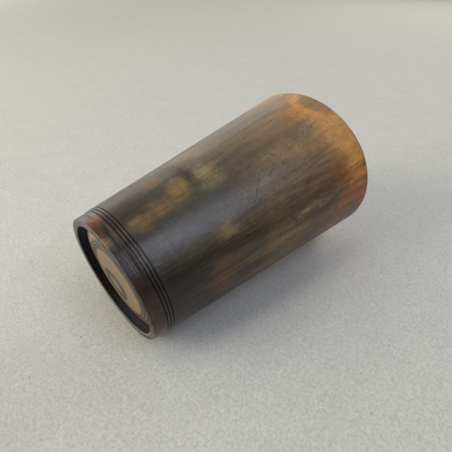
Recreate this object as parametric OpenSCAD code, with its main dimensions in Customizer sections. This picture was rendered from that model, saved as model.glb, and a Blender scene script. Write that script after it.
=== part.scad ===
// Horn drinking cup: a tapered wall turned from a section of horn, closed by a disc
// that is sprung into a seat inside its foot. Millimetres, +Z up.
// The origin is the centre of the foot, on the surface that the cup stands on.
// X runs the long way across the oval mouth, Y the short way.

/* [Cup] */
// Height from the foot to the rim
cup_h = 110; // [80:1:160]
// Outer width of the mouth the long way
mouth_long_d = 76; // [66:0.5:100]
// Outer width of the mouth the short way
mouth_short_d = 70; // [64:0.5:96]
// Thickness of the wall at the rim
rim_t = 2.2; // [1.4:0.1:3.2]
// Radius that rounds both edges of the rim
rim_round = 0.9; // [0.2:0.05:1.2]

/* [Foot] */
// Outer diameter of the turned foot
foot_d = 51.4; // [44:0.2:58]
// Height of the plain band of the foot, under its cove
collar_h = 2.75; // [2:0.05:5]
// How far the plain band flares out from the floor to the cove
collar_flare = 0.25; // [0:0.05:0.6]
// Height of the shallow cove over the band
cove_h = 1.95; // [1:0.05:4]
// How deep the cove is cut
cove_depth = 0.25; // [0.05:0.05:0.6]
// How far the wall over the cove stands out past the band
shoulder_step = 0.3; // [0:0.05:1]
// Width of the ring that the cup stands on
ring_w = 3; // [2.4:0.1:5]
// Radius that rounds the outer edge of the ring
ring_round = 0.5; // [0.2:0.05:1]
// Radius that rounds the edge between the ring and the recess
recess_round = 0.85; // [0.2:0.05:1.2]

/* [Incised lines] */
// How many lines are cut round the wall over the foot
line_count = 3; // [1:1:5]
// Distance from one line to the next
line_pitch = 1.25; // [0.9:0.05:2.5]
// Width of one line
line_w = 0.5; // [0.3:0.05:0.8]
// Depth of one line
line_depth = 0.35; // [0.15:0.05:0.6]

/* [Base disc and its seat] */
// Depth of the recess under the disc, measured at the disc's edge
recess_h = 3.1; // [2:0.1:6]
// How far the recess narrows from the floor up to the disc
recess_taper = 1.2; // [0.4:0.1:2.5]
// How far the seat is cut into the wall past the throat of the recess
seat_depth = 1; // [0.5:0.1:1.6]
// Width of the shoulder that the disc is pushed up against
ledge_w = 0.5; // [0.2:0.1:1]
// Thickness of the disc at its edge
disc_t = 3; // [2:0.1:5]
// Height of the bevel that lets the disc spring past the throat
bevel_h = 1.4; // [0.6:0.1:1.8]
// How far the underside of the disc bulges down at its middle
dome_h = 1.2; // [0.2:0.1:1.8]
// Hairline left between the disc and its seat
seat_gap = 0.05; // [0.02:0.01:0.2]

/* [Hidden] */
// How far a cut runs past the face that it opens
overrun = 1;
// Sides of a round or oval section, and steps in a rounded corner
sides = 96;
corner_steps = 4;
cove_steps = 6;
dome_steps = 10;
// The largest share of the rim's thickness, and of the ring's width, that one corner may take
corner_share = 0.42;

rim_corner = min(rim_round, corner_share * rim_t);
ring_corner = min(ring_round, corner_share * ring_w);
recess_corner = min(recess_round, corner_share * ring_w);

foot_r = foot_d / 2;
collar_r = foot_r + collar_flare;
shoulder_r = collar_r + shoulder_step;
shoulder_z = collar_h + cove_h;
lines_top_z = shoulder_z + (line_count - 1 / 2) * line_pitch + line_w / 2;

recess_r = foot_r - ring_w;
throat_r = recess_r - recess_taper;
seat_r = throat_r + seat_depth;
cavity_r = seat_r - ledge_w;
disc_top_z = recess_h + disc_t;
// Half way up the straight part of the seat, where the cut for the drinking space starts
seat_mid_z = recess_h + (bevel_h + disc_t) / 2;

mouth_long_r = mouth_long_d / 2;
mouth_short_r = mouth_short_d / 2;

// Outer radius of the wall at height z, the long way or the short way.
// The section is round at the shoulder and comes to the mouth's oval at the rim.
function wall_r(z, mouth_r) =
    shoulder_r + (mouth_r - shoulder_r) * (z - shoulder_z) / (cup_h - shoulder_z);
// The lands between the incised lines follow the round start of the wall
function land_r(z) = wall_r(z, (mouth_long_r + mouth_short_r) / 2);
function line_z(i) = shoulder_z + (i + 1 / 2) * line_pitch;

// Points of a quarter circle round a centre, from one angle to another
function corner(centre, r, from, to) =
    [for (i = [0 : corner_steps])
        let (a = from + (to - from) * i / corner_steps)
        centre + r * [cos(a), sin(a)]];

// The cove, a shallow hollow between the band and the shoulder
function cove() =
    [for (i = [0 : cove_steps])
        let (t = i / cove_steps)
        [collar_r + shoulder_step * t - cove_depth * sin(180 * t), collar_h + cove_h * t]];

// One incised line: its lower edge, its floor and, where the wall goes on, its upper edge
function incised(i) =
    let (low = line_z(i) - line_w / 2, high = line_z(i) + line_w / 2,
         floor_r = land_r(line_z(i)) - line_depth)
    i < line_count - 1
        ? [[land_r(low), low], [floor_r, low], [floor_r, high], [land_r(high), high]]
        : [[land_r(low), low], [floor_r, low], [floor_r, high + overrun]];

// Solid between oval sections, each given as [height, half the long way, half the short way]
module loft(sections) {
    rows = len(sections);
    points = [for (s = sections, k = [0 : sides - 1])
        let (a = 360 * k / sides) [s[1] * cos(a), s[2] * sin(a), s[0]]];
    skirts = [for (r = [0 : rows - 2], k = [0 : sides - 1])
        let (here = r * sides, next = (k + 1) % sides)
        each [[here + k, here + sides + k, here + next],
              [here + next, here + sides + k, here + sides + next]]];
    bottom = [for (k = [0 : sides - 1]) k];
    top = [for (k = [sides - 1 : -1 : 0]) (rows - 1) * sides + k];
    polyhedron(points = points, faces = concat([bottom, top], skirts), convexity = 4);
}

// The turned foot up to the last incised line, as a solid of revolution.
// It runs on a little inside the wall above, which starts at that line's upper edge.
module foot_solid() {
    outline = concat(
        [[0, 0]],
        corner([foot_r - ring_corner, ring_corner], ring_corner, -90, 0),
        cove(),
        [for (i = [0 : line_count - 1]) each incised(i)],
        [[0, lines_top_z + overrun]]);
    rotate_extrude($fn = sides) polygon(outline);
}

// The tapered outside of the wall, from the last incised line to the rounded rim
module wall_solid() {
    lip = corner([-rim_corner, cup_h - rim_corner], rim_corner, 0, 90);
    loft(concat(
        [[lines_top_z, wall_r(lines_top_z, mouth_long_r), wall_r(lines_top_z, mouth_short_r)]],
        [for (p = lip) [p[1], mouth_long_r + p[0], mouth_short_r + p[0]]]));
}

// The drinking space: round over the disc, oval and rounded outwards at the rim
module cavity() {
    long_r = mouth_long_r - rim_t;
    short_r = mouth_short_r - rim_t;
    lip = corner([rim_corner, cup_h - rim_corner], rim_corner, 180, 90);
    loft(concat(
        [[seat_mid_z, cavity_r, cavity_r], [disc_top_z, cavity_r, cavity_r]],
        [for (p = lip) [p[1], long_r + p[0], short_r + p[0]]],
        [[cup_h + overrun, long_r + rim_corner, short_r + rim_corner]]));
}

// Outline of the recess and the seat over it, on one side of the axis.
// less is how much smaller the disc is made than the seat that it sits in.
function seat_outline(less) =
    [[throat_r - less, recess_h], [seat_r - less, recess_h + bevel_h], [seat_r - less, disc_top_z - less]];

module recess_and_seat() {
    outline = concat(
        [[0, -overrun], [recess_r + recess_corner, -overrun]],
        corner([recess_r + recess_corner, recess_corner], recess_corner, -90, -180),
        seat_outline(0),
        [[0, disc_top_z]]);
    rotate_extrude($fn = sides) polygon(outline);
}

module horn_wall() {
    color("#4a3525")
    difference() {
        union() {
            foot_solid();
            wall_solid();
        }
        cavity();
        recess_and_seat();
    }
}

// The disc is flat on top and domed below, with a bevel where it springs past the throat
module base_disc() {
    rim_r = throat_r - seat_gap;
    dome_r = (rim_r * rim_r + dome_h * dome_h) / (2 * dome_h);
    dome = [for (i = [0 : dome_steps - 1])
        let (x = rim_r * i / dome_steps)
        [x, recess_h - dome_h + dome_r - sqrt(dome_r * dome_r - x * x)]];
    color("#c2a685")
    rotate_extrude($fn = sides)
        polygon(concat(dome, seat_outline(seat_gap), [[0, disc_top_z - seat_gap]]));
}

horn_wall();
base_disc();
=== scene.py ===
# %% [markdown]
# A horn drinking cup, dressed for the camera.
# The cup is one turned and pressed section of cattle horn, closed by a disc of horn plate that is
# sprung into a seat inside the foot. The solids come from CAD; here each gets the fine shape and the
# finish of the real thing. This first cell loads the solids as a fixed frame, in metres, and keeps
# their box, because the dressed cup has to stay inside it. The cup's height and the two half widths
# of its mouth are read from that box, so the dress follows the solids if they are made again.

# %% Load the frame
import math

import bpy
from mathutils import Matrix, Vector


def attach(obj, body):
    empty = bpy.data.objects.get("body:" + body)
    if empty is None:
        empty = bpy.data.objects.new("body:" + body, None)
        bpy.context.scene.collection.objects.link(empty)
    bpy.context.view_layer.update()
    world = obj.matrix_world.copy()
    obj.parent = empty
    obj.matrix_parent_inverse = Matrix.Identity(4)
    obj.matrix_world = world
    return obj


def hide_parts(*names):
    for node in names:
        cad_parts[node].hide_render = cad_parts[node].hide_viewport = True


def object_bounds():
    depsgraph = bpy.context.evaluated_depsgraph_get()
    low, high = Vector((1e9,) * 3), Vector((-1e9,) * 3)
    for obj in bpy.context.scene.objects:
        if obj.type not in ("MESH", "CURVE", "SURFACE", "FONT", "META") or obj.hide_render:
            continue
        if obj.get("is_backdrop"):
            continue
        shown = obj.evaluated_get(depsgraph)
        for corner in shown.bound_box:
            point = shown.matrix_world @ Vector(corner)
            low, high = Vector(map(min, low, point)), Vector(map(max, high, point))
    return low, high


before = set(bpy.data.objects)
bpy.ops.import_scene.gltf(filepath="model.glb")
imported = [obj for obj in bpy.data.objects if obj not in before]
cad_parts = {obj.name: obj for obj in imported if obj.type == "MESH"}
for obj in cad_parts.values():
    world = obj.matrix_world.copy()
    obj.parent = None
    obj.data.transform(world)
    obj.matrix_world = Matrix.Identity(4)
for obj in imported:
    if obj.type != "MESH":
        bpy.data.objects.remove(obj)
cad_low, cad_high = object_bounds()
MM = 0.001
print("solids:", sorted(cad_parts), "box in mm:", [round(v / MM, 1) for v in (*cad_low, *cad_high)])
MOUTH_LONG_R, MOUTH_SHORT_R, CUP_HEIGHT = cad_high

# %% [markdown]
# The camera. The photograph looks down at the foot and the side of a cup that lies on a table. Its
# place, aim and lens were worked out from the outlines of the foot, the mouth and the two sides, so
# they are written here as plain numbers. A camera looks along its own -Z, with +Y to the top of the
# picture. The cup is near, so the camera's near clipping distance has to be small.


# %% Place the camera
def add_object(name, data):
    """A new object in the scene, for a camera, a light or a mesh."""
    made = bpy.data.objects.new(name, data)
    bpy.context.scene.collection.objects.link(made)
    return made


CAMERA_PLACE = Vector((92.78, -96.71, -23.27)) * MM
CAMERA_AIM = Vector((-0.57249, 0.65501, 0.49317))
CAMERA_TOP = Vector((-0.44565, -0.75347, 0.48341))
FOCAL_LENGTH = 28.04

camera_data = bpy.data.cameras.new("camera")
camera_data.lens = FOCAL_LENGTH
camera_data.sensor_width = 36.0
camera_data.clip_start = 0.01
camera_data.clip_end = 20.0
camera = add_object("camera", camera_data)
camera_back = -CAMERA_AIM.normalized()
camera_right = CAMERA_TOP.cross(camera_back).normalized()
turn = Matrix((camera_right, camera_back.cross(camera_right), camera_back)).transposed()
camera.matrix_world = Matrix.Translation(CAMERA_PLACE) @ turn.to_4x4()
bpy.context.scene.camera = camera
print("camera stands", round(CAMERA_PLACE.length / MM), "mm from the foot")

# %% [markdown]
# Helpers for node trees. The first two add a node, set its options and fill its inputs, either with
# a value or with a wire from another node. The next three are the same for one sum, for a product
# and for one step with vectors. Every material and the Geometry Nodes tree are built with them.


# %% Helpers for node trees
def fill(tree, node, inputs):
    """Fills sockets. inputs maps a socket's name or number to a value or another node's output."""
    for socket, value in dict(inputs).items():
        if isinstance(value, bpy.types.NodeSocket):
            tree.links.new(value, node.inputs[socket])
        else:
            node.inputs[socket].default_value = value


def put(tree, kind, inputs=(), **options):
    """Adds a node, sets its options and fills its inputs."""
    made = tree.nodes.new(kind)
    for option, value in options.items():
        setattr(made, option, value)
    fill(tree, made, inputs)
    return made


def sum_of(tree, operation, *values):
    """One Math node, such as sum_of(tree, "ADD", a, b)."""
    return put(tree, "ShaderNodeMath", enumerate(values), operation=operation).outputs[0]


def times(tree, *values):
    """The product of two or more values."""
    product = values[0]
    for value in values[1:]:
        product = sum_of(tree, "MULTIPLY", product, value)
    return product


def vector_of(tree, operation, *values, **named):
    """The outputs of one Vector Math node: a vector, then a number such as a length."""
    inputs = {**dict(enumerate(values)), **named}
    return put(tree, "ShaderNodeVectorMath", inputs, operation=operation).outputs


def new_material(name):
    """An empty material: its node tree and its Principled shader, already wired to the output."""
    material = bpy.data.materials.new(name)
    material.use_nodes = True
    tree = material.node_tree
    tree.nodes.clear()
    shader = put(tree, "ShaderNodeBsdfPrincipled")
    put(tree, "ShaderNodeOutputMaterial", {"Surface": shader.outputs[0]})
    return material, tree, shader


print("node tree helpers ready")

# %% [markdown]
# Helpers for patterns and colours. Nearly all that a natural surface shows is noise: stretched to a
# size, brought between two limits and laid over a colour. Colours are written as they look on a
# screen, from 0 to 255, and turned into the linear light that the nodes work with.


# %% Helpers for patterns and colours
USUAL_NOISE = (0.3, 0.7)


def noise(tree, where, scale, detail=3.0, roughness=0.5, output=0):
    """A Noise Texture's value, or its colour as output 1. Both lie round 0.5, mostly in USUAL_NOISE."""
    return put(tree, "ShaderNodeTexNoise", {"Vector": where, "Scale": scale, "Detail": detail,
                                            "Roughness": roughness}).outputs[output]


def remap(tree, value, low, high, to_low=0.0, to_high=1.0, smooth=True):
    """Stretches a value between two limits on to two others, with soft ends."""
    return put(tree, "ShaderNodeMapRange",
               {"Value": value, "From Min": low, "From Max": high, "To Min": to_low, "To Max": to_high},
               interpolation_type="SMOOTHSTEP" if smooth else "LINEAR").outputs[0]


def vary(tree, pattern, least, most):
    """Turns a noise value into a number between two limits, in even steps."""
    return remap(tree, pattern, *USUAL_NOISE, least, most, smooth=False)


def nudged(tree, where, reach, *noise_settings):
    """A place that noise has moved about, so that what is drawn there loses its clean outline."""
    about = noise(tree, where, *noise_settings, output=1)
    about = vector_of(tree, "SUBTRACT", about, (0.5, 0.5, 0.5))[0]
    about = vector_of(tree, "SCALE", about, Scale=reach)[0]
    return vector_of(tree, "ADD", where, about)[0]


def tint(tree, share, under, over, how="MIX"):
    """Lays one colour over another, by a share from 0 to 1."""
    return put(tree, "ShaderNodeMix", {0: share, 6: under, 7: over},
               data_type="RGBA", blend_type=how).outputs[2]


def shaded(tree, colour, factor):
    """A colour made darker or lighter by a factor."""
    return tint(tree, 1.0, colour, factor, "MULTIPLY")


def srgb(red, green, blue):
    """A colour as it looks on a screen, 0 to 255, turned into linear light."""
    screen = [c / 255 for c in (red, green, blue)]
    light = [c / 12.92 if c <= 0.04045 else ((c + 0.055) / 1.055) ** 2.4 for c in screen]
    return (*light, 1.0)


def bump(tree, relief, distance, strength=1.0):
    """Lights a smooth face as if it had this relief."""
    return put(tree, "ShaderNodeBump",
               {"Height": relief, "Distance": distance, "Strength": strength}).outputs[0]


def ramp(tree, value, stops):
    """A Color Ramp with the given (position, colour) stops."""
    made = put(tree, "ShaderNodeValToRGB", {0: value})
    stops = [(position, srgb(*colour)) for position, colour in stops]
    points = made.color_ramp.elements
    points[0].position, points[0].color = stops[0]
    points[1].position, points[1].color = stops[-1]
    for position, colour in stops[1:-1]:
        points.new(position).color = colour
    return made.outputs[0]


print("pattern helpers ready")

# %% [markdown]
# The stage. The cup lies on a pale table in the photograph, while its CAD frame has it upright, so
# the table is the plane that touches the cup along one side, from shoulder to rim. From behind, that
# plane would hide the cup, so there it is clear. A second pale floor lies under the upright cup for
# the other views. Only the camera sees it, from above, so it changes nothing in the main picture.
# Both are stage, not part of the cup, and of paper with a stipple, faint patches and rare specks.

# %% Table and floor
SHOULDER_R, SHOULDER_Z = 26.25 * MM, 4.7 * MM
STAGE_SIZE = 6.0
PAPER_TONE = (219, 217, 208)

rest_line = Vector((0, MOUTH_SHORT_R - SHOULDER_R, CUP_HEIGHT - SHOULDER_Z)).normalized()
table_up = Vector((1, 0, 0)).cross(rest_line).normalized()
if table_up.y > 0:
    table_up = -table_up


def paper_material(name):
    """Pale matt paper with a faint stipple, clear when it is seen from behind."""
    material, tree, shader = new_material(name)
    where = put(tree, "ShaderNodeTexCoord").outputs["Object"]
    stipple = noise(tree, where, 1000.0, 4.0, 0.75)
    patches = noise(tree, where, 60.0, 3.0, 0.6)
    specks = noise(tree, where, 640.0, 0.0)
    shade = times(tree, remap(tree, specks, 0.84, 0.88, 1.0, 0.72), vary(tree, stipple, 0.81, 1.19),
                  vary(tree, patches, 0.975, 1.025))
    fill(tree, shader, {"Base Color": shaded(tree, srgb(*PAPER_TONE), shade), "Roughness": 0.85,
                        "Specular IOR Level": 0.2, "Normal": bump(tree, stipple, 0.16 * MM, 0.7)})
    clear = put(tree, "ShaderNodeBsdfTransparent").outputs[0]
    from_behind = put(tree, "ShaderNodeNewGeometry").outputs["Backfacing"]
    either = put(tree, "ShaderNodeMixShader", {0: from_behind, 1: shader.outputs[0], 2: clear})
    output = next(n for n in tree.nodes if n.type == "OUTPUT_MATERIAL")
    fill(tree, output, {"Surface": either.outputs[0]})
    return material


def stage_plane(name, centre, up, material):
    """A large flat sheet that faces along up."""
    side = Vector((1, 0, 0))
    other = up.cross(side)
    half = STAGE_SIZE / 2
    corners = [centre + side * a * half + other * b * half
               for a, b in ((-1, -1), (1, -1), (1, 1), (-1, 1))]
    mesh = bpy.data.meshes.new(name)
    mesh.from_pydata(corners, [], [(0, 1, 2, 3)])
    mesh.materials.append(material)
    plane = add_object(name, mesh)
    plane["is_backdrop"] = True
    return plane


paper = paper_material("pale_paper")
table = stage_plane("table", Vector((0, MOUTH_SHORT_R, CUP_HEIGHT)), table_up, paper)
table.visible_shadow = False
floor = stage_plane("upright_floor", Vector((0, 0, 0)), Vector((0, 0, 1)), paper)
for ray in ("visible_diffuse", "visible_glossy", "visible_transmission", "visible_shadow"):
    setattr(floor, ray, False)
print("the table faces", [round(v, 3) for v in table.data.polygons[0].normal])

# %% [markdown]
# The light. The shadow on the table and the gloss on the cup tell where it comes from: a window low
# on the left, the strongest, a pale room on the left, behind the cup and overhead, a second window
# behind on the right, and a cooler window above and to the right of the camera, which draws the
# bluish sheen along the cup. The last light stands below the table, which casts no shadow, and lights
# the far side for the views from behind. A light's place is an angle on the table, from the camera's
# right and turning away from it, and a height above the table in degrees. Its brightness is that of
# a patch of its surface, so a larger light is stronger but not brighter in a reflection. The world
# behind all this is a dim room, a little brighter on the window's side.

# %% World and lights
table_away = (CAMERA_AIM - table_up * CAMERA_AIM.dot(table_up)).normalized()
table_right = table_away.cross(table_up).normalized()
CUP_MIDDLE = Vector((0, 0, CUP_HEIGHT / 2))
# Name, angle and height in degrees, distance, width and height in metres, brightness, colour
SOFT_LIGHTS = (
    ("key_window", 197, 22, 1.1, 0.70, 0.71, 5.3, (255, 253, 246)),
    ("left_room", 151.5, 12, 1.6, 1.56, 0.68, 2.3, (255, 252, 244)),
    ("back_window", 45, 29, 1.5, 0.80, 0.58, 3.8, (255, 252, 246)),
    ("far_room", 95.5, 17.5, 2.0, 2.16, 1.26, 0.9, (255, 252, 244)),
    ("ceiling", 181, 79, 1.2, 0.35, 0.35, 3.4, (255, 252, 244)),
    ("cool_window", 328, 52.5, 1.3, 0.45, 0.82, 4.15, (218, 228, 255)),
    ("far_side_fill", 110, -55, 1.2, 0.8, 0.8, 2.0, (255, 252, 246)),
)


def soft_light(name, angle, raised, distance, width, height, brightness, colour):
    """A rectangular light that faces the cup, placed by two angles in degrees on the table."""
    angle, raised = math.radians(angle), math.radians(raised)
    direction = ((table_right * math.cos(angle) + table_away * math.sin(angle)) * math.cos(raised)
                 + table_up * math.sin(raised))
    data = bpy.data.lights.new(name, "AREA")
    data.shape = "RECTANGLE"
    data.size, data.size_y = width, height
    data.energy = brightness * math.pi * width * height
    data.color = srgb(*colour)[:3]
    light = add_object(name, data)
    # The light's own X lies level on the table, so its width and height are as named
    level = table_up.cross(direction).normalized()
    facing_cup = Matrix((level, direction.cross(level), direction)).transposed()
    light.matrix_world = Matrix.Translation(CUP_MIDDLE + direction * distance) @ facing_cup.to_4x4()
    light.visible_camera = False


for settings in SOFT_LIGHTS:
    soft_light(*settings)

world = bpy.data.worlds.new("soft_room")
world.use_nodes = True
room = world.node_tree
look = put(room, "ShaderNodeTexCoord").outputs["Generated"]
DIM_SIDE = (table_right * 0.63 - table_away * 0.78).normalized()
BRIGHT_GLOW, DIM_GLOW = 0.17, 0.08
towards_dim = vector_of(room, "DOT_PRODUCT", look, DIM_SIDE)[1]
glow = remap(room, towards_dim, -0.35, 0.35, BRIGHT_GLOW, DIM_GLOW)
fill(room, room.nodes["Background"], {"Color": srgb(240, 240, 240), "Strength": glow})
bpy.context.scene.world = world
bpy.context.scene.view_settings.view_transform = "Standard"
print("lights:", [settings[0] for settings in SOFT_LIGHTS])

# %% [markdown]
# The turned shape. Both pieces were turned, so one rule makes them both: a profile is carried round
# the axis. The wall was then pressed while warm, so its mouth is oval. The Geometry Nodes tree below
# rolls up a flat grid: the grid's X says how far round a point is, and its Y which point of the
# profile it takes. Each point of the profile carries two values of its own, how far the section is
# drawn out into an oval there, and how wavy the scraper left it. A tree was chosen over a Screw
# modifier because that can't make a section that changes from round to oval.


# %% The turning tree
# The scraper's waves: how many there are round the wall, how short they are up it, and the noise
# value that leaves the surface as it is. Few waves pass it, so the scraper mostly takes horn away
WAVES_ROUND, WAVES_UP, WAVE_TOP = 2.2, 9.0, 0.62


def turning_tree():
    """Carries a profile, a line of points in the XZ plane, round the Z axis."""
    tree = bpy.data.node_groups.new("turn_and_press", "GeometryNodeTree")
    sockets = (("Profile", "NodeSocketGeometry"), ("Sides", "NodeSocketInt"), ("Wave", "NodeSocketFloat"),
               ("Wave Seed", "NodeSocketFloat"), ("Finish", "NodeSocketMaterial"))
    for name, kind in sockets:
        tree.interface.new_socket(name, in_out="INPUT", socket_type=kind)
    tree.interface.new_socket("Turned", in_out="OUTPUT", socket_type="NodeSocketGeometry")
    given = put(tree, "NodeGroupInput").outputs

    # A flat grid, one column more than there are sides, because the last one closes on the first
    rows = put(tree, "GeometryNodeAttributeDomainSize", {0: given["Profile"]}, component="MESH").outputs[0]
    columns = sum_of(tree, "ADD", given["Sides"], 1.0)
    sheet = put(tree, "GeometryNodeMeshGrid",
                {"Size X": 1.0, "Size Y": 1.0, "Vertices X": columns, "Vertices Y": rows}).outputs["Mesh"]
    place = put(tree, "ShaderNodeSeparateXYZ", {0: put(tree, "GeometryNodeInputPosition").outputs[0]}).outputs
    angle = times(tree, sum_of(tree, "ADD", place[0], 0.5), math.tau)
    last_row = sum_of(tree, "SUBTRACT", rows, 1.0)
    row = put(tree, "FunctionNodeFloatToInt", {0: times(tree, sum_of(tree, "ADD", place[1], 0.5), last_row)},
              rounding_mode="ROUND").outputs[0]

    # What this point's row of the profile says
    def from_profile(value, kind):
        return put(tree, "GeometryNodeSampleIndex", {0: given["Profile"], 1: value, "Index": row},
                   data_type=kind, domain="POINT").outputs[0]

    def own(name):
        return put(tree, "GeometryNodeInputNamedAttribute", {0: name}, data_type="FLOAT").outputs[0]

    point = from_profile(put(tree, "GeometryNodeInputPosition").outputs[0], "FLOAT_VECTOR")
    point = put(tree, "ShaderNodeSeparateXYZ", {0: point}).outputs
    oval = from_profile(own("oval"), "FLOAT")
    scraped = from_profile(own("scraped"), "FLOAT")

    # The scraper's waves are long up the wall and short across it
    cosine, sine = sum_of(tree, "COSINE", angle), sum_of(tree, "SINE", angle)
    around = put(tree, "ShaderNodeCombineXYZ", {0: cosine, 1: sine, 2: times(tree, point[2], WAVES_UP)})
    waves = put(tree, "ShaderNodeTexNoise",
                {"Vector": around.outputs[0], "W": given["Wave Seed"], "Scale": WAVES_ROUND, "Detail": 1.5},
                noise_dimensions="4D").outputs[0]
    wave = times(tree, sum_of(tree, "SUBTRACT", waves, WAVE_TOP), scraped, given["Wave"])
    radius = sum_of(tree, "ADD", point[0], wave)

    # Round first, then drawn out along X and pressed in along Y
    along_x = times(tree, sum_of(tree, "ADD", radius, oval), cosine)
    along_y = times(tree, sum_of(tree, "SUBTRACT", radius, oval), sine)
    target = put(tree, "ShaderNodeCombineXYZ", {0: along_x, 1: along_y, 2: point[2]}).outputs[0]
    rolled = put(tree, "GeometryNodeSetPosition", {"Geometry": sheet, "Position": target}).outputs[0]
    closed = put(tree, "GeometryNodeMergeByDistance", {"Geometry": rolled, "Distance": 0.002 * MM}).outputs[0]
    real = put(tree, "GeometryNodeRealizeInstances", {0: closed}).outputs[0]
    finished = put(tree, "GeometryNodeSetMaterial", {"Geometry": real, "Material": given["Finish"]})
    put(tree, "NodeGroupOutput", {0: finished.outputs[0]})
    return tree


turn_and_press = turning_tree()
print("turning tree with", len(turn_and_press.nodes), "nodes")

# %% [markdown]
# The next helper gives the tree a profile and takes back a plain mesh. A point of the profile is
# (radius, height, oval, scraped). The modifier's inputs are set by their identifiers, since two
# inputs may share a name. The mesh comes back with an empty material slot before its own, so the
# slots are cleared and every face wears the one finish. The volume that is printed is positive only
# when the faces point outwards, so it is a quick test of the whole piece.


# %% From profile to piece
def turned_piece(name, profile, sides, wave, seed, material, sharp_degrees):
    """A closed mesh, turned from its profile, with its place in the mesh."""
    mesh = bpy.data.meshes.new(name + "_profile")
    mesh.from_pydata([(radius, 0, height) for radius, height, _, _ in profile], [], [])
    for column, attribute in ((2, "oval"), (3, "scraped")):
        values = mesh.attributes.new(attribute, "FLOAT", "POINT")
        values.data.foreach_set("value", [point[column] for point in profile])
    source = add_object(name + "_profile", mesh)
    modifier = source.modifiers.new("turn", "NODES")
    modifier.node_group = turn_and_press
    settings = {"Sides": sides, "Wave": wave, "Wave Seed": seed, "Finish": material}
    for socket in turn_and_press.interface.items_tree:
        if socket.name in settings and socket.in_out == "INPUT":
            modifier[socket.identifier] = settings[socket.name]
    evaluated = source.evaluated_get(bpy.context.evaluated_depsgraph_get())
    turned = bpy.data.meshes.new_from_object(evaluated)
    bpy.data.objects.remove(source)
    bpy.data.meshes.remove(mesh)
    turned.name = name
    turned.materials.clear()
    turned.materials.append(material)
    turned.polygons.foreach_set("material_index", [0] * len(turned.polygons))
    turned.shade_smooth()
    turned.set_sharp_from_angle(angle=math.radians(sharp_degrees))
    piece = add_object(name, turned)
    turned.calc_loop_triangles()
    volume = 0.0
    for triangle in turned.loop_triangles:
        a, b, c = (turned.vertices[i].co for i in triangle.vertices)
        volume += a.dot(b.cross(c)) / 6
    print(name, len(turned.loop_triangles), "triangles,", round(volume / MM**3), "cubic mm")
    return piece


def steps(first, last, count):
    """Evenly spaced numbers, both ends included."""
    return [first + (last - first) * i / (count - 1) for i in range(count)]


def rounded(centre_r, centre_z, corner, first, last, count):
    """Points on a rounded corner, from one angle to another, in degrees."""
    return [(centre_r + corner * math.cos(math.radians(a)), centre_z + corner * math.sin(math.radians(a)))
            for a in steps(first, last, count)]


print("ready to turn")

# %% [markdown]
# The wall's profile is drawn as the turner's gauge would be, in millimetres and with the solids' own
# sizes, up the outside and down the inside. The outside comes first: the ring that the cup stands
# on, the plain band, the shallow cove, three incised lines with softened lips, and the long taper.

# %% Profile of the wall: the outside
FOOT_R, COLLAR_R, COLLAR_H = 25.7, 25.95, 2.75
RING_CORNER = 0.5
COVE_DEPTH = 0.25
LINE_PITCH, LINE_WIDTH, LINE_DEPTH, LINE_COUNT = 1.25, 0.5, 0.35, 3
# A line's lip is softened over LIP, and its walls reach the bottom in two steps
LIP, WALL_FOOT, WALL_STEP = 0.07, 0.15, 0.1
RIM_CORNER = 0.9
# Up the outside, the scraper's waves start and stop over this height
WAVE_FADE = 3

height, long_r, short_r = CUP_HEIGHT / MM, MOUTH_LONG_R / MM, MOUTH_SHORT_R / MM
mouth_r, mouth_oval = (long_r + short_r) / 2, (long_r - short_r) / 2
shoulder_r, shoulder_z = SHOULDER_R / MM, SHOULDER_Z / MM


def outer_r(z):
    """Mean radius of the outside at a height."""
    return shoulder_r + (mouth_r - shoulder_r) * (z - shoulder_z) / (height - shoulder_z)


def outer_oval(z):
    """How far the outside is drawn out along X, and pressed in along Y, at a height."""
    return mouth_oval * max(0.0, z - shoulder_z) / (height - shoulder_z)


def round_part(points):
    """Points of the foot, which is round and was turned, so it is neither oval nor scraped."""
    return [(r, z, 0.0, 0.0) for r, z in points]


def mouth_part(points):
    """Points of the rim, which has the mouth's oval and was polished smooth."""
    return [(r, z, mouth_oval, 0.0) for r, z in points]


wall_profile = round_part(rounded(FOOT_R - RING_CORNER, RING_CORNER, RING_CORNER, -90, 0, 6))
band = zip(steps(FOOT_R, COLLAR_R, 6), steps(RING_CORNER, COLLAR_H, 6))
wall_profile += round_part(list(band)[1:-1])
wall_profile += round_part(
    (COLLAR_R + (shoulder_r - COLLAR_R) * share - COVE_DEPTH * math.sin(math.pi * share),
     COLLAR_H + (shoulder_z - COLLAR_H) * share) for share in steps(0, 1, 11))
for i in range(LINE_COUNT):
    middle = shoulder_z + (i + 0.5) * LINE_PITCH
    low, high, deep = middle - LINE_WIDTH / 2, middle + LINE_WIDTH / 2, outer_r(middle) - LINE_DEPTH
    wall_profile += round_part((
        (outer_r(low - LIP), low - LIP), (outer_r(low) - LIP / 3, low + LIP / 3),
        (deep + WALL_STEP, low + LIP), (deep, low + WALL_FOOT),
        (deep, high - WALL_FOOT), (deep + WALL_STEP, high - LIP),
        (outer_r(high) - LIP / 3, high - LIP / 3), (outer_r(high + LIP), high + LIP)))
lines_top = shoulder_z + LINE_COUNT * LINE_PITCH
for z in steps(lines_top, height - RIM_CORNER, 104)[:-1]:
    scraped = min(1.0, (z - lines_top) / WAVE_FADE, (height - z) / WAVE_FADE)
    wall_profile.append((outer_r(z), z, outer_oval(z), scraped))
wall_profile += mouth_part(rounded(mouth_r - RIM_CORNER, height - RIM_CORNER, RIM_CORNER, 0, 90, 7))
print("outside of the wall with", len(wall_profile), "points")

# %% [markdown]
# The profile goes on over the rim and down the inside: the drinking space, which narrows and loses
# its oval on the way down, the ledge and the straight seat for the disc, the bevel that runs in to
# the narrow throat, and the recess under it, back to the ring.

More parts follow.
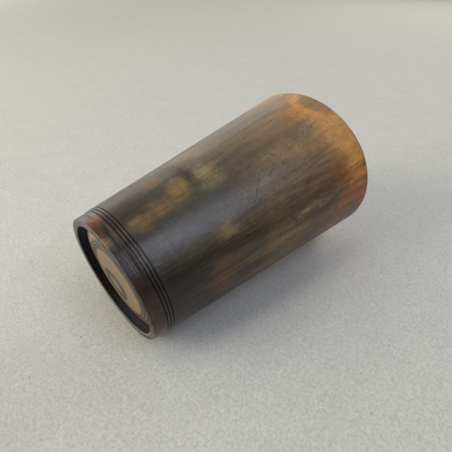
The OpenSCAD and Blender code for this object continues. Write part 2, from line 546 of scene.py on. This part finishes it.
# %% Profile of the wall: the inside
RIM_T = 2.2
RECESS_R, THROAT_R, SEAT_R, CAVITY_R = 22.7, 21.5, 22.5, 22.0
RECESS_H, BEVEL_TOP, DISC_TOP = 3.1, 4.5, 6.1
RECESS_CORNER = 0.85

inner_mouth_r, inner_mouth_z = mouth_r - RIM_T, height - RIM_CORNER
wall_profile += mouth_part(rounded(inner_mouth_r + RIM_CORNER, inner_mouth_z, RIM_CORNER, 90, 180, 7))
for share in steps(1, 0, 54)[1:]:
    wall_profile.append((CAVITY_R + (inner_mouth_r - CAVITY_R) * share,
                         DISC_TOP + (inner_mouth_z - DISC_TOP) * share, mouth_oval * share, 0.0))
wall_profile += round_part(((SEAT_R, DISC_TOP), (SEAT_R, BEVEL_TOP), (THROAT_R, RECESS_H)))
recess_side = zip(steps(THROAT_R, RECESS_R, 5), steps(RECESS_H, RECESS_CORNER, 5))
wall_profile += round_part(list(recess_side)[1:-1])
recess_edge_r = RECESS_R + RECESS_CORNER
wall_profile += round_part(rounded(recess_edge_r, RECESS_CORNER, RECESS_CORNER, 180, 270, 7))
wall_profile += round_part((r, 0.0) for r in steps(recess_edge_r, FOOT_R - RING_CORNER, 4)[1:])
wall_profile = [(r * MM, z * MM, oval * MM, scraped) for r, z, oval, scraped in wall_profile]
print("wall profile with", len(wall_profile), "points")

# %% [markdown]
# The disc's profile. It runs from the axis along the domed underside, out along the bevel that let
# the disc spring past the throat, up the straight edge and back to the axis along the flat top, the
# same way round as the wall's, so that its faces point outwards. A slight ripple on the underside
# keeps the turner's tool marks, which catch the light.

# %% Profile of the disc
SEAT_GAP = 0.05
DOME_H = 1.2

dome_edge_r = THROAT_R - SEAT_GAP
dome_sphere_r = (dome_edge_r**2 + DOME_H**2) / (2 * DOME_H)
disc_profile = []
for r in steps(0, dome_edge_r, 60):
    ripple = 0.012 * (math.sin(r * math.tau / 1.45) - 1) * min(1.0, (dome_edge_r - r) / 2, r / 2)
    disc_profile.append((r, RECESS_H - DOME_H + dome_sphere_r - math.sqrt(dome_sphere_r**2 - r * r) - ripple))
disc_profile += [(SEAT_R - SEAT_GAP, BEVEL_TOP)]
disc_profile += [(r, DISC_TOP - SEAT_GAP) for r in steps(SEAT_R - SEAT_GAP, 0, 12)]
disc_profile = [(r * MM, z * MM, 0.0, 0.0) for r, z in disc_profile]
print("disc profile with", len(disc_profile), "points")

# %% [markdown]
# Horn's pattern belongs to the growth of the horn, not to the cup: clouds and streaks run along the
# horn's length, through the wall from outside to inside. So the finish is worked out from a point's
# place: its direction from the axis and its height. Object coordinates give both. A direction has
# no seam, unlike an angle, so the streaks meet all the way round. Lengths are in millimetres.


# %% Where a point is on the horn
MEAN_R = 31.0


def horn_place(tree):
    """For a point: its place in metres, its height in mm, its direction and its radius in mm."""
    where = put(tree, "ShaderNodeTexCoord").outputs["Object"]
    x, y, z = put(tree, "ShaderNodeSeparateXYZ", {0: where}).outputs[:]
    radius = sum_of(tree, "SQRT", sum_of(tree, "ADD", times(tree, x, x), times(tree, y, y)))
    radius = sum_of(tree, "MAXIMUM", radius, 0.1 * MM)
    side = sum_of(tree, "DIVIDE", x, radius), sum_of(tree, "DIVIDE", y, radius)
    return where, times(tree, z, 1 / MM), side, times(tree, radius, 1 / MM)


def grain(tree, side, height_mm, across_mm, along_mm, detail=3.0, shift=0.0):
    """Noise drawn out along the horn: so many mm across the grain and so many along it."""
    across = [times(tree, part, MEAN_R / across_mm) for part in side]
    along = sum_of(tree, "MULTIPLY_ADD", height_mm, 1.0 / along_mm, shift)
    vector = put(tree, "ShaderNodeCombineXYZ", {0: across[0], 1: across[1], 2: along}).outputs[0]
    return noise(tree, vector, 1.0, detail, 0.55)


print("horn coordinates ready")

# %% [markdown]
# A cloud is a soft ball of colour whose middle lies on the wall. A Mapping node moves a point's
# place to the ball's middle, turns it to face outwards, leans it if asked and divides it by the
# ball's reach, and a spherical gradient fades it out. Two things keep clouds from looking like
# balls: their place is nudged by a slow noise, and their edge is frayed along the grain.


# %% Clouds in the horn
CLOUD_DEPTH = 9.0


def cloud(tree, loose_place, fray, degrees, height_mm, half_width, half_height, edge=(0.0, 1.0), lean=0.0):
    """A mask for one cloud, by its angle round the cup and its height, with half sizes in mm."""
    angle = math.radians(degrees)
    reach = outer_r(height_mm)
    middle = (reach * math.cos(angle) * MM, reach * math.sin(angle) * MM, height_mm * MM)
    depth = max(CLOUD_DEPTH, half_width * 1.3)
    mapped = put(tree, "ShaderNodeMapping",
                 {"Vector": loose_place, "Location": middle, "Rotation": (math.radians(lean), 0, angle),
                  "Scale": (depth * MM, half_width * MM, half_height * MM)}, vector_type="TEXTURE")
    ball = put(tree, "ShaderNodeTexGradient", {0: mapped.outputs[0]}, gradient_type="SPHERICAL").outputs[1]
    return remap(tree, times(tree, ball, fray), *edge)


print("ready for clouds")

# %% [markdown]
# The clouds of the side that the photograph shows. Each has its degrees round the cup from +X, its
# height, half width and half height in mm, its colour and its share. Later ones lie over earlier
# ones: broad tones, then golden patches low on the wall and streaks on the dark flank. Two pale grey
# ones, at -47 and -48 degrees, are painted sheen along the gloss band. The mouth has amber to dark
# red tones, and the foot's band small rusty and black spots.

# %% Clouds that the photograph shows, and painted sheen
SEEN_CLOUDS_AND_SHEEN = (
    # Painted sheen: the second cloud on the next line, at -47 degrees
    (-63, 36, 9, 24, (84, 79, 69), 0.8), (-47, 15, 7.5, 14, (106, 101, 94), 0.8),
    (-92, 14, 12, 16, (64, 54, 42), 0.6), (-58, 78, 8, 28, (160, 130, 90), 0.7),
    (-46, 64, 8, 15, (116, 101, 84), 0.6), (-28, 82, 13, 22, (120, 90, 68), 0.7),
    (-6, 80, 9, 14, (86, 54, 26), 0.7), (12, 74, 7, 10, (60, 40, 18), 0.7),
    (-76, 43, 8, 8.5, (160, 140, 98), 0.9), (-83, 44, 5, 4.6, (148, 128, 88), 0.75),
    (-68, 43, 5, 7, (130, 114, 86), 0.7), (-77.5, 31, 7.6, 7.6, (152, 122, 74), 0.9),
    (-72, 28, 6, 7, (136, 109, 68), 0.8), (-69.5, 22, 4.8, 5.6, (150, 113, 68), 0.85),
    (-76, 21.5, 5, 6, (112, 90, 62), 0.5), (-70.5, 13.5, 4.4, 8.6, (132, 101, 60), 0.75),
    (-89, 37.3, 14, 4.2, (62, 55, 46), 0.9), (-100, 26.5, 6, 6, (124, 86, 44), 0.8),
    (-102, 47, 8, 11, (150, 125, 86), 0.85), (-106, 56, 7, 12, (126, 108, 74), 0.5),
    (-34, 36, 4.4, 9, (156, 128, 84), 0.9), (-37, 40, 5, 8, (120, 106, 80), 0.6),
    (-31.5, 56, 2.2, 24, (124, 99, 68), 0.7), (-33.5, 65, 2.2, 12, (138, 113, 82), 0.7),
    (-14.5, 76, 2.6, 26, (148, 122, 78), 0.75), (-13.2, 71, 1.7, 9, (176, 150, 98), 0.85),
    # Painted highlight in the sheen: the second cloud on the next line, at -48 degrees
    (-15, 64, 1.3, 1.8, (110, 58, 30), 0.85), (-48, 61, 3.4, 6, (142, 128, 114), 0.5),
    (-110, 76, 18, 36, (90, 79, 59), 0.8), (-14, 56, 4, 12, (100, 74, 42), 0.6),
    (2, 60, 10, 16, (122, 96, 52), 0.85), (-5, 54, 6, 10, (130, 99, 58), 0.7),
    (0, 30, 10, 10, (112, 75, 42), 0.85), (-13, 33, 7, 12, (98, 74, 48), 0.65),
    (-94, 38, 7, 15, (66, 60, 50), 0.5),
)
MOUTH_CLOUDS = (
    (-45, 102, 26, 12, (220, 166, 96), 0.8), (-62, 103, 14, 10, (208, 152, 84), 0.7),
    (-33, 103, 10, 9, (222, 162, 92), 0.7), (-29, 95.5, 9, 7, (166, 106, 66), 0.8),
    (-25, 93.5, 5, 5, (140, 78, 46), 0.85), (-20, 92, 5, 8, (176, 112, 58), 0.6),
    (-16, 104, 8, 13, (206, 144, 66), 0.85), (-3, 100, 11, 15, (154, 74, 8), 0.85),
    (14, 101, 12, 15, (60, 20, 6), 0.95), (-107, 102, 16, 18, (116, 92, 56), 0.85),
    (-92, 97, 7, 6, (126, 98, 64), 0.6),
)
FOOT_CLOUDS = (
    (-104, 2.4, 11, 4.5, (58, 36, 20), 0.95), (-96, 2.2, 6, 2.2, (142, 68, 20), 0.9),
    (-95, 3.5, 4, 1.0, (120, 66, 26), 0.7), (-87, 1.2, 6, 2.0, (92, 50, 30), 0.8),
    (-86, 3.4, 4.6, 1.6, (40, 29, 27), 0.9), (-91, 2.0, 1.6, 1.2, (52, 32, 28), 0.8),
    (-80, 2.5, 3.4, 1.6, (48, 34, 31), 0.85), (-77, 0.9, 3.4, 1.6, (106, 62, 36), 0.8),
    (-71.5, 0.8, 2.6, 1.8, (176, 124, 46), 0.9), (-76, 4.1, 7, 1.0, (92, 58, 42), 0.6),
    (-34, 2.4, 6, 3.4, (78, 50, 44), 0.7), (-24, 2.3, 14, 5.0, (56, 32, 26), 0.85),
    (2, 2.4, 16, 5.0, (50, 30, 20), 0.8), (-8, 0.8, 3.0, 1.6, (84, 62, 46), 0.7),
    (-4, 2.2, 0.9, 4.4, (96, 70, 52), 0.6), (30, 2.6, 13, 5, (104, 54, 34), 0.6),
    (95, 2.4, 14, 5, (84, 48, 34), 0.7), (150, 2.8, 10, 3.6, (96, 56, 36), 0.7),
    (205, 2.6, 12, 3.6, (60, 44, 34), 0.7),
)
print(len(SEEN_CLOUDS_AND_SHEEN), "on the wall,", len(MOUTH_CLOUDS), "at the mouth,", len(FOOT_CLOUDS), "on the foot")

# %% [markdown]
# The far side isn't in the photograph. A real cup's pattern goes all the way round, so the far side
# gets clouds of the same kinds. The growth line that arches from the rim, the worm marks and nicks
# and the one long scratch are the photograph's again, with a few more marks for the far side.

# %% The far side, the growth line and the marks
FAR_CLOUDS = (
    (60, 26, 12, 14, (126, 94, 56), 0.7), (66, 44, 7, 13, (150, 124, 78), 0.8),
    (48, 62, 5, 26, (130, 104, 66), 0.7), (88, 18, 8, 11, (134, 98, 56), 0.7),
    (105, 66, 14, 30, (134, 110, 80), 0.6), (118, 34, 9, 10, (156, 124, 76), 0.85),
    (128, 50, 3.6, 24, (136, 110, 70), 0.75), (96, 88, 12, 18, (112, 84, 62), 0.7),
    (150, 22, 10, 13, (58, 42, 28), 0.7), (158, 60, 5, 28, (136, 110, 70), 0.7),
    (176, 38, 10, 11, (150, 118, 70), 0.8), (186, 78, 12, 20, (150, 122, 86), 0.6),
    (205, 20, 8, 12, (134, 100, 58), 0.7), (214, 56, 7, 18, (146, 124, 86), 0.7),
    (228, 70, 8, 26, (120, 100, 76), 0.6), (38, 100, 14, 14, (76, 52, 36), 0.85),
    (75, 103, 20, 12, (122, 94, 62), 0.85), (112, 101, 13, 12, (170, 106, 58), 0.8),
    (146, 103, 20, 12, (214, 158, 88), 0.8), (182, 100, 12, 11, (180, 116, 62), 0.8),
    (212, 104, 16, 12, (196, 146, 84), 0.8), (236, 98, 10, 11, (172, 120, 70), 0.8),
)
# The growth line that arches from the rim: degrees, height and half sizes of its cloud
ARCH = (-78.0, 111.5, 16.5, 16.5)
# Worm marks, small dents and nicks: degrees, height, half width, half height, lean
MARKS = (
    (-64.8, 97.2, 0.3, 0.7, 50), (-64.3, 95.6, 0.3, 0.5, -30), (-64, 93.9, 0.5, 0.7, 60),
    (-62.6, 93.2, 0.35, 0.7, -20), (-63.4, 91.6, 0.6, 0.45, 10), (-62.2, 90.4, 0.3, 0.8, 65),
    (-62.7, 88.2, 0.3, 0.6, 15), (-61.8, 84.9, 0.25, 0.5, -15), (-61.3, 82.9, 0.5, 0.7, 25),
    (-61.4, 69.4, 0.35, 0.5, 10), (-60.4, 66.9, 0.45, 0.35, 0), (-52, 70.8, 0.3, 0.5, 0),
    (-52.6, 65.4, 0.35, 0.4, 0), (-50.4, 63.6, 0.5, 0.9, 35), (-49.8, 62.4, 0.35, 0.5, 0),
    (-56.5, 61.2, 0.35, 0.35, 0), (-100, 26.5, 0.6, 0.5, 0), (-31.6, 75.7, 0.9, 0.35, 20),
    (-33.4, 76.9, 0.7, 0.3, -15), (-16, 63.7, 0.5, 1.6, -75), (-12.6, 65.0, 0.4, 1.6, -66),
    (-3, 88.4, 1.4, 0.8, 0), (82, 71, 0.4, 0.7, 0), (124, 44, 0.5, 0.4, 0), (151, 83, 0.4, 0.7, 20),
    (198, 36, 0.4, 0.5, 0), (203, 91, 0.5, 0.4, 0),
)
# The long scratch, described in the same way
SCRATCH = (-47.8, 55.6, 0.42, 9.6, 44)
print(len(FAR_CLOUDS), "clouds on the far side,", len(MARKS), "marks")

# %% [markdown]
# The wall's finish is built up in steps. First the ground colour. It follows the height: dark
# grey-brown at the foot, where the horn was thick and close to the skull, tan in the middle and
# clear amber at the mouth, where the thin wall lets light through. Two flanks of the horn are darker
# and browner all the way up. The limit between the tones runs in tongues along the grain, and long
# patches are tinted olive or smoky grey.


# %% Ground colour of the wall
# Colours by height, from 0 at the foot to 1 at the rim
PALE_SIDE = (
    (0.00, (64, 54, 45)), (0.12, (70, 62, 52)), (0.27, (82, 75, 62)), (0.45, (102, 91, 73)),
    (0.63, (128, 108, 82)), (0.78, (146, 118, 84)), (0.84, (166, 124, 82)), (0.89, (198, 142, 80)),
    (0.95, (206, 152, 84)), (1.00, (202, 146, 78)))
DARK_FLANK = (
    (0.00, (42, 25, 18)), (0.12, (33, 25, 17)), (0.27, (50, 37, 24)), (0.42, (60, 44, 28)),
    (0.56, (94, 72, 42)), (0.68, (84, 61, 36)), (0.80, (98, 62, 30)), (0.88, (140, 80, 28)),
    (1.00, (172, 98, 32)))
# Long tints: colour, share, and a shift that gives each a pattern of its own
LONG_TINTS = (((140, 122, 78), 0.4, 17.0), ((80, 79, 77), 0.35, 23.0))


def facing(tree, side, degrees, full, fade):
    """1 on the side that faces an angle, fading to 0 between two angles away from it."""
    angle = math.radians(degrees)
    cosine = sum_of(tree, "ADD", times(tree, side[0], math.cos(angle)), times(tree, side[1], math.sin(angle)))
    return remap(tree, cosine, math.cos(math.radians(fade)), math.cos(math.radians(full)))


def ground_colour(tree, side, height_mm, dark):
    """The horn's own colour by height, on the pale sides and on the dark flanks."""
    tongues = sum_of(tree, "SUBTRACT", grain(tree, side, height_mm, 9.0, 90.0, 3.0), 0.5)
    swing = remap(tree, height_mm, 84.0, 104.0, 26.0, 9.0)
    lifted = sum_of(tree, "DIVIDE", sum_of(tree, "MULTIPLY_ADD", tongues, swing, height_mm), height)
    colour = tint(tree, dark, ramp(tree, lifted, PALE_SIDE), ramp(tree, lifted, DARK_FLANK))
    for tone, share, shift in LONG_TINTS:
        patch = remap(tree, grain(tree, side, height_mm, 5.0, 38.0, 3.0, shift), 0.5, 0.64)
        patch = times(tree, patch, remap(tree, height_mm, 92.0, 104.0, share, 0.0),
                      remap(tree, height_mm, 8.0, 50.0, 0.1, 1.0))
        colour = tint(tree, patch, colour, srgb(*tone))
    return colour


print("ground colour ready")

# %% [markdown]
# On the ground come the clouds, then the growth line that arches from the rim, with greyish horn
# inside it and a clear orange line along it, and last painted shade on the rounded lip.


# %% Clouds, growth line and painted shade on the lip
def clouded(tree, where, side, height_mm, mottle, colour):
    """Lays the clouds, two of them painted sheen, the growth line and the painted shade on the lip over the
    ground colour.
    """
    loose = nudged(tree, where, 8 * MM, 90.0, 3.0, 0.6)
    fray = times(tree, remap(tree, grain(tree, side, height_mm, 1.2, 9.0, 3.0), *USUAL_NOISE, 0.62, 1.38),
                 remap(tree, mottle, *USUAL_NOISE, 0.82, 1.18))
    # Two of the seen clouds are painted sheen
    clouds = SEEN_CLOUDS_AND_SHEEN + MOUTH_CLOUDS + FOOT_CLOUDS + FAR_CLOUDS
    for degrees, mm, half_width, half_height, tone, share in clouds:
        mask = cloud(tree, loose, fray, degrees, mm, half_width, half_height)
        colour = tint(tree, times(tree, mask, share), colour, srgb(*tone))
    arch = cloud(tree, loose, vary(tree, mottle, 0.93, 1.07), *ARCH)
    colour = tint(tree, times(tree, remap(tree, arch, 0.15, 0.5), 0.6), colour, srgb(114, 94, 66))
    arch_line = times(tree, remap(tree, arch, 0.02, 0.14), remap(tree, arch, 0.38, 0.15),
                      facing(tree, side, -86, 6, 24))
    colour = tint(tree, times(tree, arch_line, 0.62), colour, srgb(220, 154, 70))
    # Painted shade on the rounded lip
    lip_shade = remap(tree, height_mm, 108.8, 109.3, 0.0, 0.8)
    return tint(tree, lip_shade, colour, srgb(62, 42, 26))


print("clouds and growth line ready")

# %% [markdown]
# Over the clouds lies the horn's grain: mottling and speckle, broad streaks that swing most on the
# dark flanks, fibres combed along the horn, and a few pale threads among them.


# %% Mottling, streaks and fibres
def streaked(tree, side, height_mm, mottle, speckle, fibres, dark, colour):
    """Lays mottling, broad streaks, fibres and pale threads over the clouds."""
    mottled = times(tree, vary(tree, mottle, 0.86, 1.14), vary(tree, speckle, 0.82, 1.18))
    colour = shaded(tree, colour, mottled)
    flank_swing = remap(tree, dark, 0.0, 1.0, 0.7, 1.9)
    broad = sum_of(tree, "SUBTRACT", grain(tree, side, height_mm, 2.6, 34.0, 3.0, 7.0), 0.5)
    colour = shaded(tree, colour, sum_of(tree, "MULTIPLY_ADD", broad, flank_swing, 1.0))
    fibrous = sum_of(tree, "MAXIMUM", facing(tree, side, -20, 14, 34), facing(tree, side, 165, 12, 40))
    fibrous = times(tree, sum_of(tree, "MULTIPLY_ADD", fibrous, 0.95, 0.25),
                    remap(tree, height_mm, 88.0, 102.0, 1.0, 0.45))
    combed = times(tree, sum_of(tree, "SUBTRACT", fibres, 0.5), 1.3)
    colour = shaded(tree, colour, sum_of(tree, "MULTIPLY_ADD", combed, fibrous, 1.0))
    threads = remap(tree, grain(tree, side, height_mm, 0.8, 34.0, 2.0, 11.0), 0.58, 0.72)
    threads = times(tree, threads, fibrous, remap(tree, height_mm, 14.0, 34.0), 0.4)
    return tint(tree, threads, colour, srgb(150, 126, 88))


print("streaks and fibres ready")

# %% [markdown]
# Marks are drawn as tiny clouds with ragged outlines. One mask serves the colour, which is darker in
# them, and the relief, which is sunk there.


# %% Marks and the scratch
MARK_SPREAD = 1.7


def dents_in(tree, where):
    """A mask of the marks and the scratch: 1 in the middle of a mark, 0 away from it."""
    ragged = nudged(tree, where, 0.8 * MM, 1500.0, 2.0)
    degrees, mm, half_width, half_height, lean = SCRATCH
    dents = cloud(tree, ragged, 1.0, degrees, mm, half_width, half_height, (0.1, 0.6), lean)
    dents = times(tree, dents, 0.7)
    for degrees, mm, half_width, half_height, lean in MARKS:
        mark = cloud(tree, ragged, 1.0, degrees, mm, half_width * MARK_SPREAD, half_height * MARK_SPREAD,
                     (0.1, 0.7), lean)
        dents = sum_of(tree, "MAXIMUM", mark, dents)
    return dents


print("marks ready")

# %% [markdown]
# Wear and painted shade go where the shape says. The incised lines are darker, found as the places
# that lie under the outside's slope. The ring that the cup stands on is worn bare; its grey is partly
# painted sheen, it is paler on one side as a painted highlight and browner on another, and its inner
# edge is painted as black as the recess, as shade.


# %% Darker lines, wear, painted highlight and painted shade
def below_outside(tree, height_mm, radius_mm):
    """How far a point lies under the slope of the wall's outside, in mm."""
    slope = (mouth_r - shoulder_r) / (height - shoulder_z)
    outside = sum_of(tree, "MULTIPLY_ADD", height_mm, slope, shoulder_r - shoulder_z * slope)
    return sum_of(tree, "SUBTRACT", outside, radius_mm)


def used(tree, side, height_mm, radius_mm, below, ring, mottle, colour):
    """Lays the darker lines, the worn ring with its painted sheen and highlight, and the painted shade at the
    recess's edge over the horn.
    """
    outside = remap(tree, radius_mm, 25.2, 25.5)
    at_lines = times(tree, remap(tree, height_mm, 4.8, 5.0), remap(tree, height_mm, 8.5, 8.2))
    # The incised lines are made darker
    darkening = times(tree, remap(tree, below, 0.06, 0.3), outside, at_lines, 0.92)
    colour = tint(tree, darkening, colour, srgb(18, 14, 12))
    # The ring is worn bare; its grey is partly painted sheen, and its paler side, towards 45 degrees, is a
    # painted highlight
    worn_and_highlit = tint(tree, facing(tree, side, 45, 25, 60), srgb(104, 98, 90), srgb(134, 128, 119))
    worn_and_highlit = tint(tree, facing(tree, side, -18, 12, 42), worn_and_highlit, srgb(70, 63, 55))
    colour = tint(tree, times(tree, ring, vary(tree, mottle, 0.45, 1.0)), colour, worn_and_highlit)
    # Painted shade: the recess's rounded edge and the bevel above it made nearly black
    recess = times(tree, remap(tree, height_mm, 4.0, 3.4), remap(tree, height_mm, 0.4, 0.9),
                   remap(tree, radius_mm, 23.6, 23.1))
    return tint(tree, times(tree, recess, 0.95), colour, srgb(16, 12, 10))


print("dirt and wear ready")

# %% [markdown]
# All steps together are the wall's material. The gloss is that of hand-polished horn, worn soft in
# places and duller inside and on the ring. The roughness follows the fibres and slow patches only,
# because fine mottling in it made dark flecks in the sheen. A shallow bump keeps that and the marks.


# %% Dark horn for the wall
RELIEF, HORN_IOR = 0.12 * MM, 1.54


def dark_horn():
    """Polished dark horn, with its pattern, its wear, darker lines, painted sheen, painted highlight and
    painted shade.
    """
    material, tree, shader = new_material("dark_horn_polished")
    where, height_mm, side, radius_mm = horn_place(tree)
    mottle = noise(tree, where, 420.0, 3.0, 0.6)
    speckle = noise(tree, where, 1250.0, 3.0, 0.65)
    fibres = grain(tree, side, height_mm, 0.95, 15.0, 4.0, 3.0)
    dark = sum_of(tree, "MAXIMUM", facing(tree, side, 2, 14, 40), facing(tree, side, 152, 12, 38))
    dents = dents_in(tree, where)
    below = below_outside(tree, height_mm, radius_mm)
    ring = remap(tree, height_mm, 0.45, 0.15)

    colour = ground_colour(tree, side, height_mm, dark)
    colour = clouded(tree, where, side, height_mm, mottle, colour)
    colour = streaked(tree, side, height_mm, mottle, speckle, fibres, dark, colour)
    colour = tint(tree, times(tree, dents, 0.6), colour, srgb(50, 32, 24))
    colour = used(tree, side, height_mm, radius_mm, below, ring, mottle, colour)

    worn = vary(tree, noise(tree, where, 140.0, 4.0, 0.6), 0.0, 0.07)
    roughness = sum_of(tree, "ADD", vary(tree, fibres, 0.25, 0.31), worn)
    duller = sum_of(tree, "MAXIMUM", remap(tree, below, 1.2, 2.2), ring)
    roughness = sum_of(tree, "MULTIPLY_ADD", duller, 0.16, roughness)
    relief = sum_of(tree, "MULTIPLY_ADD", fibres, 0.12, times(tree, dents, -0.5))
    relief = sum_of(tree, "MULTIPLY_ADD", speckle, 0.5, relief)
    relief = sum_of(tree, "MULTIPLY_ADD", mottle, 0.6, relief)
    fill(tree, shader, {"Base Color": colour, "Roughness": roughness, "IOR": HORN_IOR,
                        "Specular IOR Level": 0.42, "Normal": bump(tree, relief, RELIEF)})
    print("dark horn with", len(tree.nodes), "nodes")
    return material


horn_wall_finish = dark_horn()

# %% [markdown]
# The recess under the disc is painted near black, as shade, and it was never polished, so it has
# almost no gloss. The strength of the gloss is a plain number on a shader, not a pattern, so the
# recess gets a material of its own, which the recess faces of the wall wear.


# %% Dull black painted shade for the recess
def recess_painted_shade():
    """Painted shade: near black with a little lighter mottling and almost no gloss."""
    material, tree, shader = new_material("recess_painted_shade")
    where = put(tree, "ShaderNodeTexCoord").outputs["Object"]
    recess_mottle = noise(tree, where, 500.0, 4.0, 0.6)
    lighter_mottle = remap(tree, recess_mottle, 0.45, 0.75, 0.0, 0.5)
    colour = tint(tree, lighter_mottle, srgb(24, 21, 18), srgb(46, 42, 36))
    fill(tree, shader, {"Base Color": colour, "Roughness": vary(tree, recess_mottle, 0.5, 0.7),
                        "Specular IOR Level": 0.12, "Normal": bump(tree, recess_mottle, 0.05 * MM)})
    print("recess black with", len(tree.nodes), "nodes")
    return material


recess_shade_finish = recess_painted_shade()

# %% [markdown]
# The disc's finish. A plate cut across solid horn shows its growth as nested lines, like the rings
# of a tree. The distance from the growth's middle picks the tone, a greyer eye, a warm tan field or a
# paler edge, and the dark lines lie at set distances. The middle drifts as the horn grows, so the
# distance is measured twice: the first measure says how far the middle has moved, and the second is
# taken from there.

# %% Growth of the disc
# Growth lines: distance from the growth's middle, half width, both in mm, and darkness
GROWTH_LINES = (
    (4.3, 0.36, 0.9), (5.4, 0.38, 1.0), (6.9, 0.5, 1.0), (10.6, 0.3, 0.12),
    (15.25, 0.46, 1.0), (16.5, 0.4, 1.0), (17.85, 0.34, 1.0), (18.85, 0.28, 0.6))
# Colours by distance from the middle, where 1 stands for GROWTH_REACH mm
GROWTH_REACH = 26.0
GROWTH_TONES = (
    (0.00, (128, 113, 101)), (0.14, (122, 107, 95)), (0.175, (106, 91, 77)), (0.275, (106, 88, 70)),
    (0.305, (130, 108, 84)), (0.40, (142, 117, 88)), (0.55, (140, 116, 90)), (0.60, (140, 119, 93)),
    (0.69, (144, 125, 98)), (0.73, (166, 149, 116)), (0.80, (162, 145, 112)), (1.00, (140, 124, 94)))
# The growth's middle at the eye, and how far it has moved by the outer lines, in mm
EYE_MIDDLE, OUTER_SHIFT = (-3.8, 6.5), (2.2, -2.9)


def growth_distance(tree, where):
    """Distance from the drifting middle of the growth, in mm."""
    loose = nudged(tree, where, 2.2 * MM, 100.0, 2.0)
    centred = put(tree, "ShaderNodeMapping", {"Vector": loose, "Location": [v * MM for v in (*EYE_MIDDLE, 0)],
                                              "Scale": (MM, MM, 1.0)}, vector_type="TEXTURE").outputs[0]
    flat = vector_of(tree, "MULTIPLY", centred, (1, 1, 0))[0]
    first = vector_of(tree, "LENGTH", flat)[1]
    drift = vector_of(tree, "SCALE", (*OUTER_SHIFT, 0), Scale=remap(tree, first, 7.0, 15.0))[0]
    return vector_of(tree, "LENGTH", vector_of(tree, "SUBTRACT", flat, drift)[0])[1]


print(len(GROWTH_LINES), "growth lines")

# %% [markdown]
# The disc's material lays the lines over the tones and adds fine rings between them, a faint
# mottling, and painted shade at its edge, next to the recess wall. The plate is less polished than
# the wall, so it is duller.


# %% Pale horn for the disc
def pale_horn():
    """Horn plate cut across, with its growth lines."""
    material, tree, shader = new_material("pale_horn_polished")
    where = put(tree, "ShaderNodeTexCoord").outputs["Object"]
    growth = growth_distance(tree, where)
    colour = ramp(tree, sum_of(tree, "DIVIDE", growth, GROWTH_REACH), GROWTH_TONES)
    fine = put(tree, "ShaderNodeCombineXYZ", {0: times(tree, growth, 1.7)}).outputs[0]
    rings = noise(tree, fine, 1.0, 3.0)
    mottle = noise(tree, where, 260.0, 4.0, 0.6)
    colour = shaded(tree, colour, vary(tree, rings, 0.9, 1.08))
    colour = shaded(tree, colour, vary(tree, mottle, 0.93, 1.06))
    broken = vary(tree, mottle, 0.85, 1.1)
    for middle, half_width, darkness in GROWTH_LINES:
        off_line = sum_of(tree, "ABSOLUTE", sum_of(tree, "SUBTRACT", growth, middle))
        line = remap(tree, off_line, half_width * 1.35, half_width * 0.75)
        colour = tint(tree, times(tree, line, broken, darkness), colour, srgb(24, 16, 13))
    # Painted shade: the disc darkens towards its edge, next to the recess wall
    from_axis = vector_of(tree, "LENGTH", vector_of(tree, "MULTIPLY", where, (1, 1, 0))[0])[1]
    edge = sum_of(tree, "MULTIPLY_ADD", mottle, 1.2 * MM, from_axis)
    darkening = times(tree, remap(tree, edge, 19.7 * MM, 21.7 * MM), 0.85)
    colour = tint(tree, darkening, colour, srgb(36, 28, 22))
    fill(tree, shader, {"Base Color": colour, "Roughness": vary(tree, mottle, 0.36, 0.5),
                        "IOR": HORN_IOR, "Specular IOR Level": 0.35,
                        "Normal": bump(tree, rings, 0.03 * MM, 0.8)})
    print("pale horn with", len(tree.nodes), "nodes")
    return material


disc_finish = pale_horn()

# %% [markdown]
# Now both pieces are turned and take the place of their solids. The wall's faces in the recess are
# found by their place and wear the dull black of painted shade. Each piece rides on the body "root",
# and its solid is hidden.

# %% Turn the wall and the disc
WALL_SIDES, DISC_SIDES = 288, 192
SCRAPE_WAVE, WAVE_SEED = 0.30 * MM, 4.0
# An edge sharper than this, in degrees, stays crisp
WALL_CRISP, DISC_CRISP = 40, 30
# The recess's faces begin on its rounded edge, just above the ring
BLACK_R, BLACK_LOW = RECESS_R + 0.4, 0.2

wall = turned_piece("horn_wall_turned", wall_profile, WALL_SIDES, SCRAPE_WAVE, WAVE_SEED,
                    horn_wall_finish, WALL_CRISP)
# The recess faces wear the painted shade
wall.data.materials.append(recess_shade_finish)
for face in wall.data.polygons:
    from_axis = math.hypot(face.center.x, face.center.y) / MM
    if from_axis < BLACK_R and BLACK_LOW < face.center.z / MM < RECESS_H:
        face.material_index = 1
print(sum(face.material_index for face in wall.data.polygons), "faces in the recess")
disc = turned_piece("base_disc_turned", disc_profile, DISC_SIDES, 0.0, 0.0, disc_finish, DISC_CRISP)
for piece, solid, finish in ((wall, "horn_wall", "dark_horn"), (disc, "base_disc", "pale_horn")):
    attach(piece, "root")
    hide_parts(solid)

# %% The cup's box
low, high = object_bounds()
print("cup's box in mm:", [round(v / MM, 2) for v in (*low, *high)])
